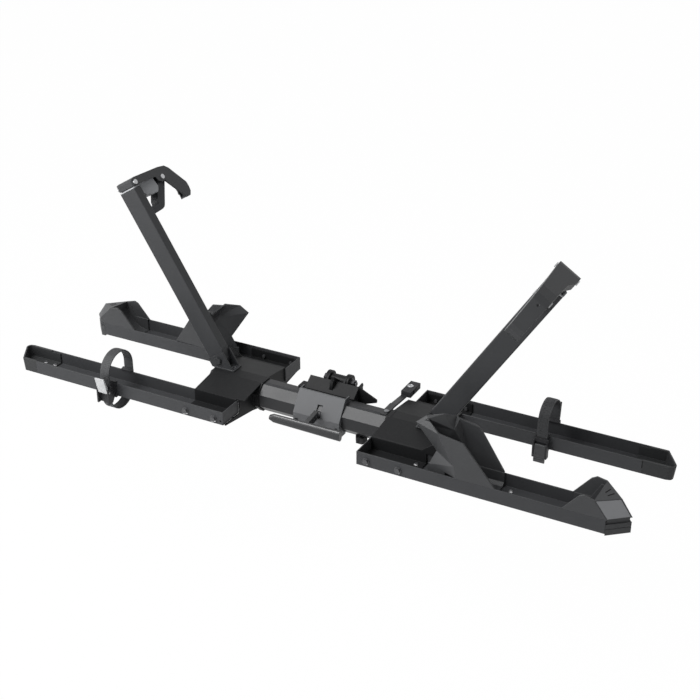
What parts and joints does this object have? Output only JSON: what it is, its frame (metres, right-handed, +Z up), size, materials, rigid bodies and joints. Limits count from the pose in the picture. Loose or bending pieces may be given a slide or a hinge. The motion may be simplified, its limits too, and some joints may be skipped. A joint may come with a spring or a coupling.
{
  "type": "hitch bike rack",
  "caption": "Platform hitch rack for bicycles: octagonal beam, wheel trays with cups and straps, and two folding arms whose sliding hooks hold the front wheels.",
  "frame": {"origin": "middle of the upper hitch stem bolt bore, between the two cheeks of the tilt bracket", "axes": "+X along the beam to the right arm, +Y towards the car, +Z up"},
  "size_m": [1.6082, 0.3991, 0.5747],
  "materials": {
    "frame_paint": "satin dark grey powder coat",
    "cover_paint": "satin mid grey powder coat",
    "handle_paint": "satin grey powder coat",
    "tray_paint": "satin dark grey powder coat",
    "moulded_plastic": "moulded, fine grain",
    "black_plastic": "moulded, fine grain",
    "collar_plastic": "moulded light grey",
    "strap_plastic": "ribbed strap",
    "pad_rubber": "soft grey rubber",
    "bolt_steel": "zinc-plated",
    "bright_steel": "zinc-plated",
    "dark_lever": "moulded",
    "pale_lever": "moulded"
  },
  "bodies": {
    "mount": {"tilt_bracket": "frame_paint", "tilt_bolt": "bolt_steel", "tilt_nut": "bolt_steel"},
    "rack": {"saddle": "frame_paint", "main_beam": "frame_paint", "beam_end_caps": "black_plastic", "centre_cover": "cover_paint", "cover_bolts": "bolt_steel", "frame_bolts": "bolt_steel", "lock_spring": "bright_steel", "cable_bar": "frame_paint", "cable_block": "black_plastic", "right_bridge": "frame_paint", "right_tray_bolts": "bolt_steel", "right_wheel_tray": "tray_paint", "right_wheel_cup": "moulded_plastic", "right_wheel_scoop": "moulded_plastic", "right_strap_tray": "tray_paint", "right_tray_cap": "black_plastic", "right_arm_bracket": "frame_paint", "right_arm_bolt": "bolt_steel", "left_bridge": "frame_paint", "left_tray_bolts": "bolt_steel", "left_wheel_tray": "tray_paint", "left_wheel_cup": "moulded_plastic", "left_wheel_scoop": "moulded_plastic", "left_strap_tray": "tray_paint", "left_tray_cap": "black_plastic", "left_arm_bracket": "frame_paint", "left_arm_bolt": "bolt_steel"},
    "handle": {"pull_handle": "handle_paint", "lock_rod": "bright_steel"},
    "knob": {"stay_knob": "black_plastic"},
    "key_barrel": {"cable_lock_barrel": "bright_steel"},
    "right_arm": {"right_arm_tube": "frame_paint", "right_ratchet_strip": "bright_steel", "right_arm_collar": "collar_plastic"},
    "right_slider": {"right_inner_arm": "frame_paint", "right_hook": "frame_paint", "right_hook_pad": "pad_rubber", "right_hook_pins": "bright_steel"},
    "right_grip": {"right_trigger": "black_plastic"},
    "right_catch": {"right_latch_rod": "bright_steel"},
    "right_strap": {"right_strap_base": "black_plastic", "right_wheel_strap": "strap_plastic", "right_buckle": "black_plastic"},
    "right_flap": {"right_buckle_lever": "dark_lever"},
    "left_arm": {"left_arm_tube": "frame_paint", "left_ratchet_strip": "bright_steel", "left_arm_collar": "collar_plastic"},
    "left_slider": {"left_inner_arm": "frame_paint", "left_hook": "frame_paint", "left_hook_pad": "pad_rubber", "left_hook_pins": "bright_steel"},
    "left_grip": {"left_trigger": "black_plastic"},
    "left_catch": {"left_latch_rod": "bright_steel"},
    "left_strap": {"left_strap_base": "black_plastic", "left_wheel_strap": "strap_plastic", "left_buckle": "black_plastic"},
    "left_flap": {"left_buckle_lever": "pale_lever"}
  },
  "joints": [
    {"name": "rack_tilt", "type": "hinge", "parent": "mount", "child": "rack", "pos_m": [0, -0.028, 0.081], "axis": [-1, 0, 0], "range_deg": [-25, 90]},
    {"name": "handle_pull", "type": "slide", "parent": "rack", "child": "handle", "axis": [0, -1, 0], "range_m": [-0.01, 0.012], "stiffness_N_per_m": 400},
    {"name": "knob_turn", "type": "hinge", "parent": "rack", "child": "knob", "pos_m": [0.098, -0.104, -0.012], "axis": [0, 0, 1], "range_deg": [0, 90]},
    {"name": "key_turn", "type": "hinge", "parent": "rack", "child": "key_barrel", "pos_m": [0.157, 0.032, 0.073], "axis": [0, 0, 1], "range_deg": [0, 90]},
    {"name": "right_arm_fold", "type": "hinge", "parent": "rack", "child": "right_arm", "pos_m": [0.29043, -0.109, 0.0915], "axis": [0, -1, 0], "range_deg": [-40, 98]},
    {"name": "right_hook_slide", "type": "slide", "parent": "right_arm", "child": "right_slider", "axis": [0.549, 0, 0.8358], "range_m": [-0.028, 0.272]},
    {"name": "right_trigger_squeeze", "type": "hinge", "parent": "right_slider", "child": "right_grip", "pos_m": [0.55302, -0.21, 0.49127], "axis": [-0.8358, 0, 0.549], "range_deg": [0, 12], "stiffness_Nm_per_rad": 4},
    {"name": "right_latch_slide", "type": "slide", "parent": "right_slider", "child": "right_catch", "axis": [-0.549, 0, -0.8358], "range_m": [0, 0.0032]},
    {"name": "right_strap_slide", "type": "slide", "parent": "rack", "child": "right_strap", "axis": [1, 0, 0], "range_m": [-0.14, 0.18]},
    {"name": "right_lever_lift", "type": "hinge", "parent": "right_strap", "child": "right_flap", "pos_m": [0.503, -0.0153, 0.037], "axis": [-1, 0, 0], "range_deg": [0, 100]},
    {"name": "left_arm_fold", "type": "hinge", "parent": "rack", "child": "left_arm", "pos_m": [-0.29843, -0.079, 0.0915], "axis": [0, 1, 0], "range_deg": [-40, 98]},
    {"name": "left_hook_slide", "type": "slide", "parent": "left_arm", "child": "left_slider", "axis": [-0.518, 0, 0.8554], "range_m": [0, 0.3]},
    {"name": "left_trigger_squeeze", "type": "hinge", "parent": "left_slider", "child": "left_grip", "pos_m": [-0.5317, 0.022, 0.47667], "axis": [0.8554, 0, 0.518], "range_deg": [0, 12], "stiffness_Nm_per_rad": 4},
    {"name": "left_latch_slide", "type": "slide", "parent": "left_slider", "child": "left_catch", "axis": [0.518, 0, -0.8554], "range_m": [0, 0.0032]},
    {"name": "left_strap_slide", "type": "slide", "parent": "rack", "child": "left_strap", "axis": [1, 0, 0], "range_m": [-0.18, 0.14]},
    {"name": "left_lever_lift", "type": "hinge", "parent": "left_strap", "child": "left_flap", "pos_m": [-0.503, -0.2847, 0.045], "axis": [-1, 0, 0], "range_deg": [-150, 0]}
  ],
  "couplings": [
    {"joint": "right_latch_slide", "follows": "right_trigger_squeeze", "m_per_rad": 0.015},
    {"joint": "left_latch_slide", "follows": "left_trigger_squeeze", "m_per_rad": 0.015}
  ]
}
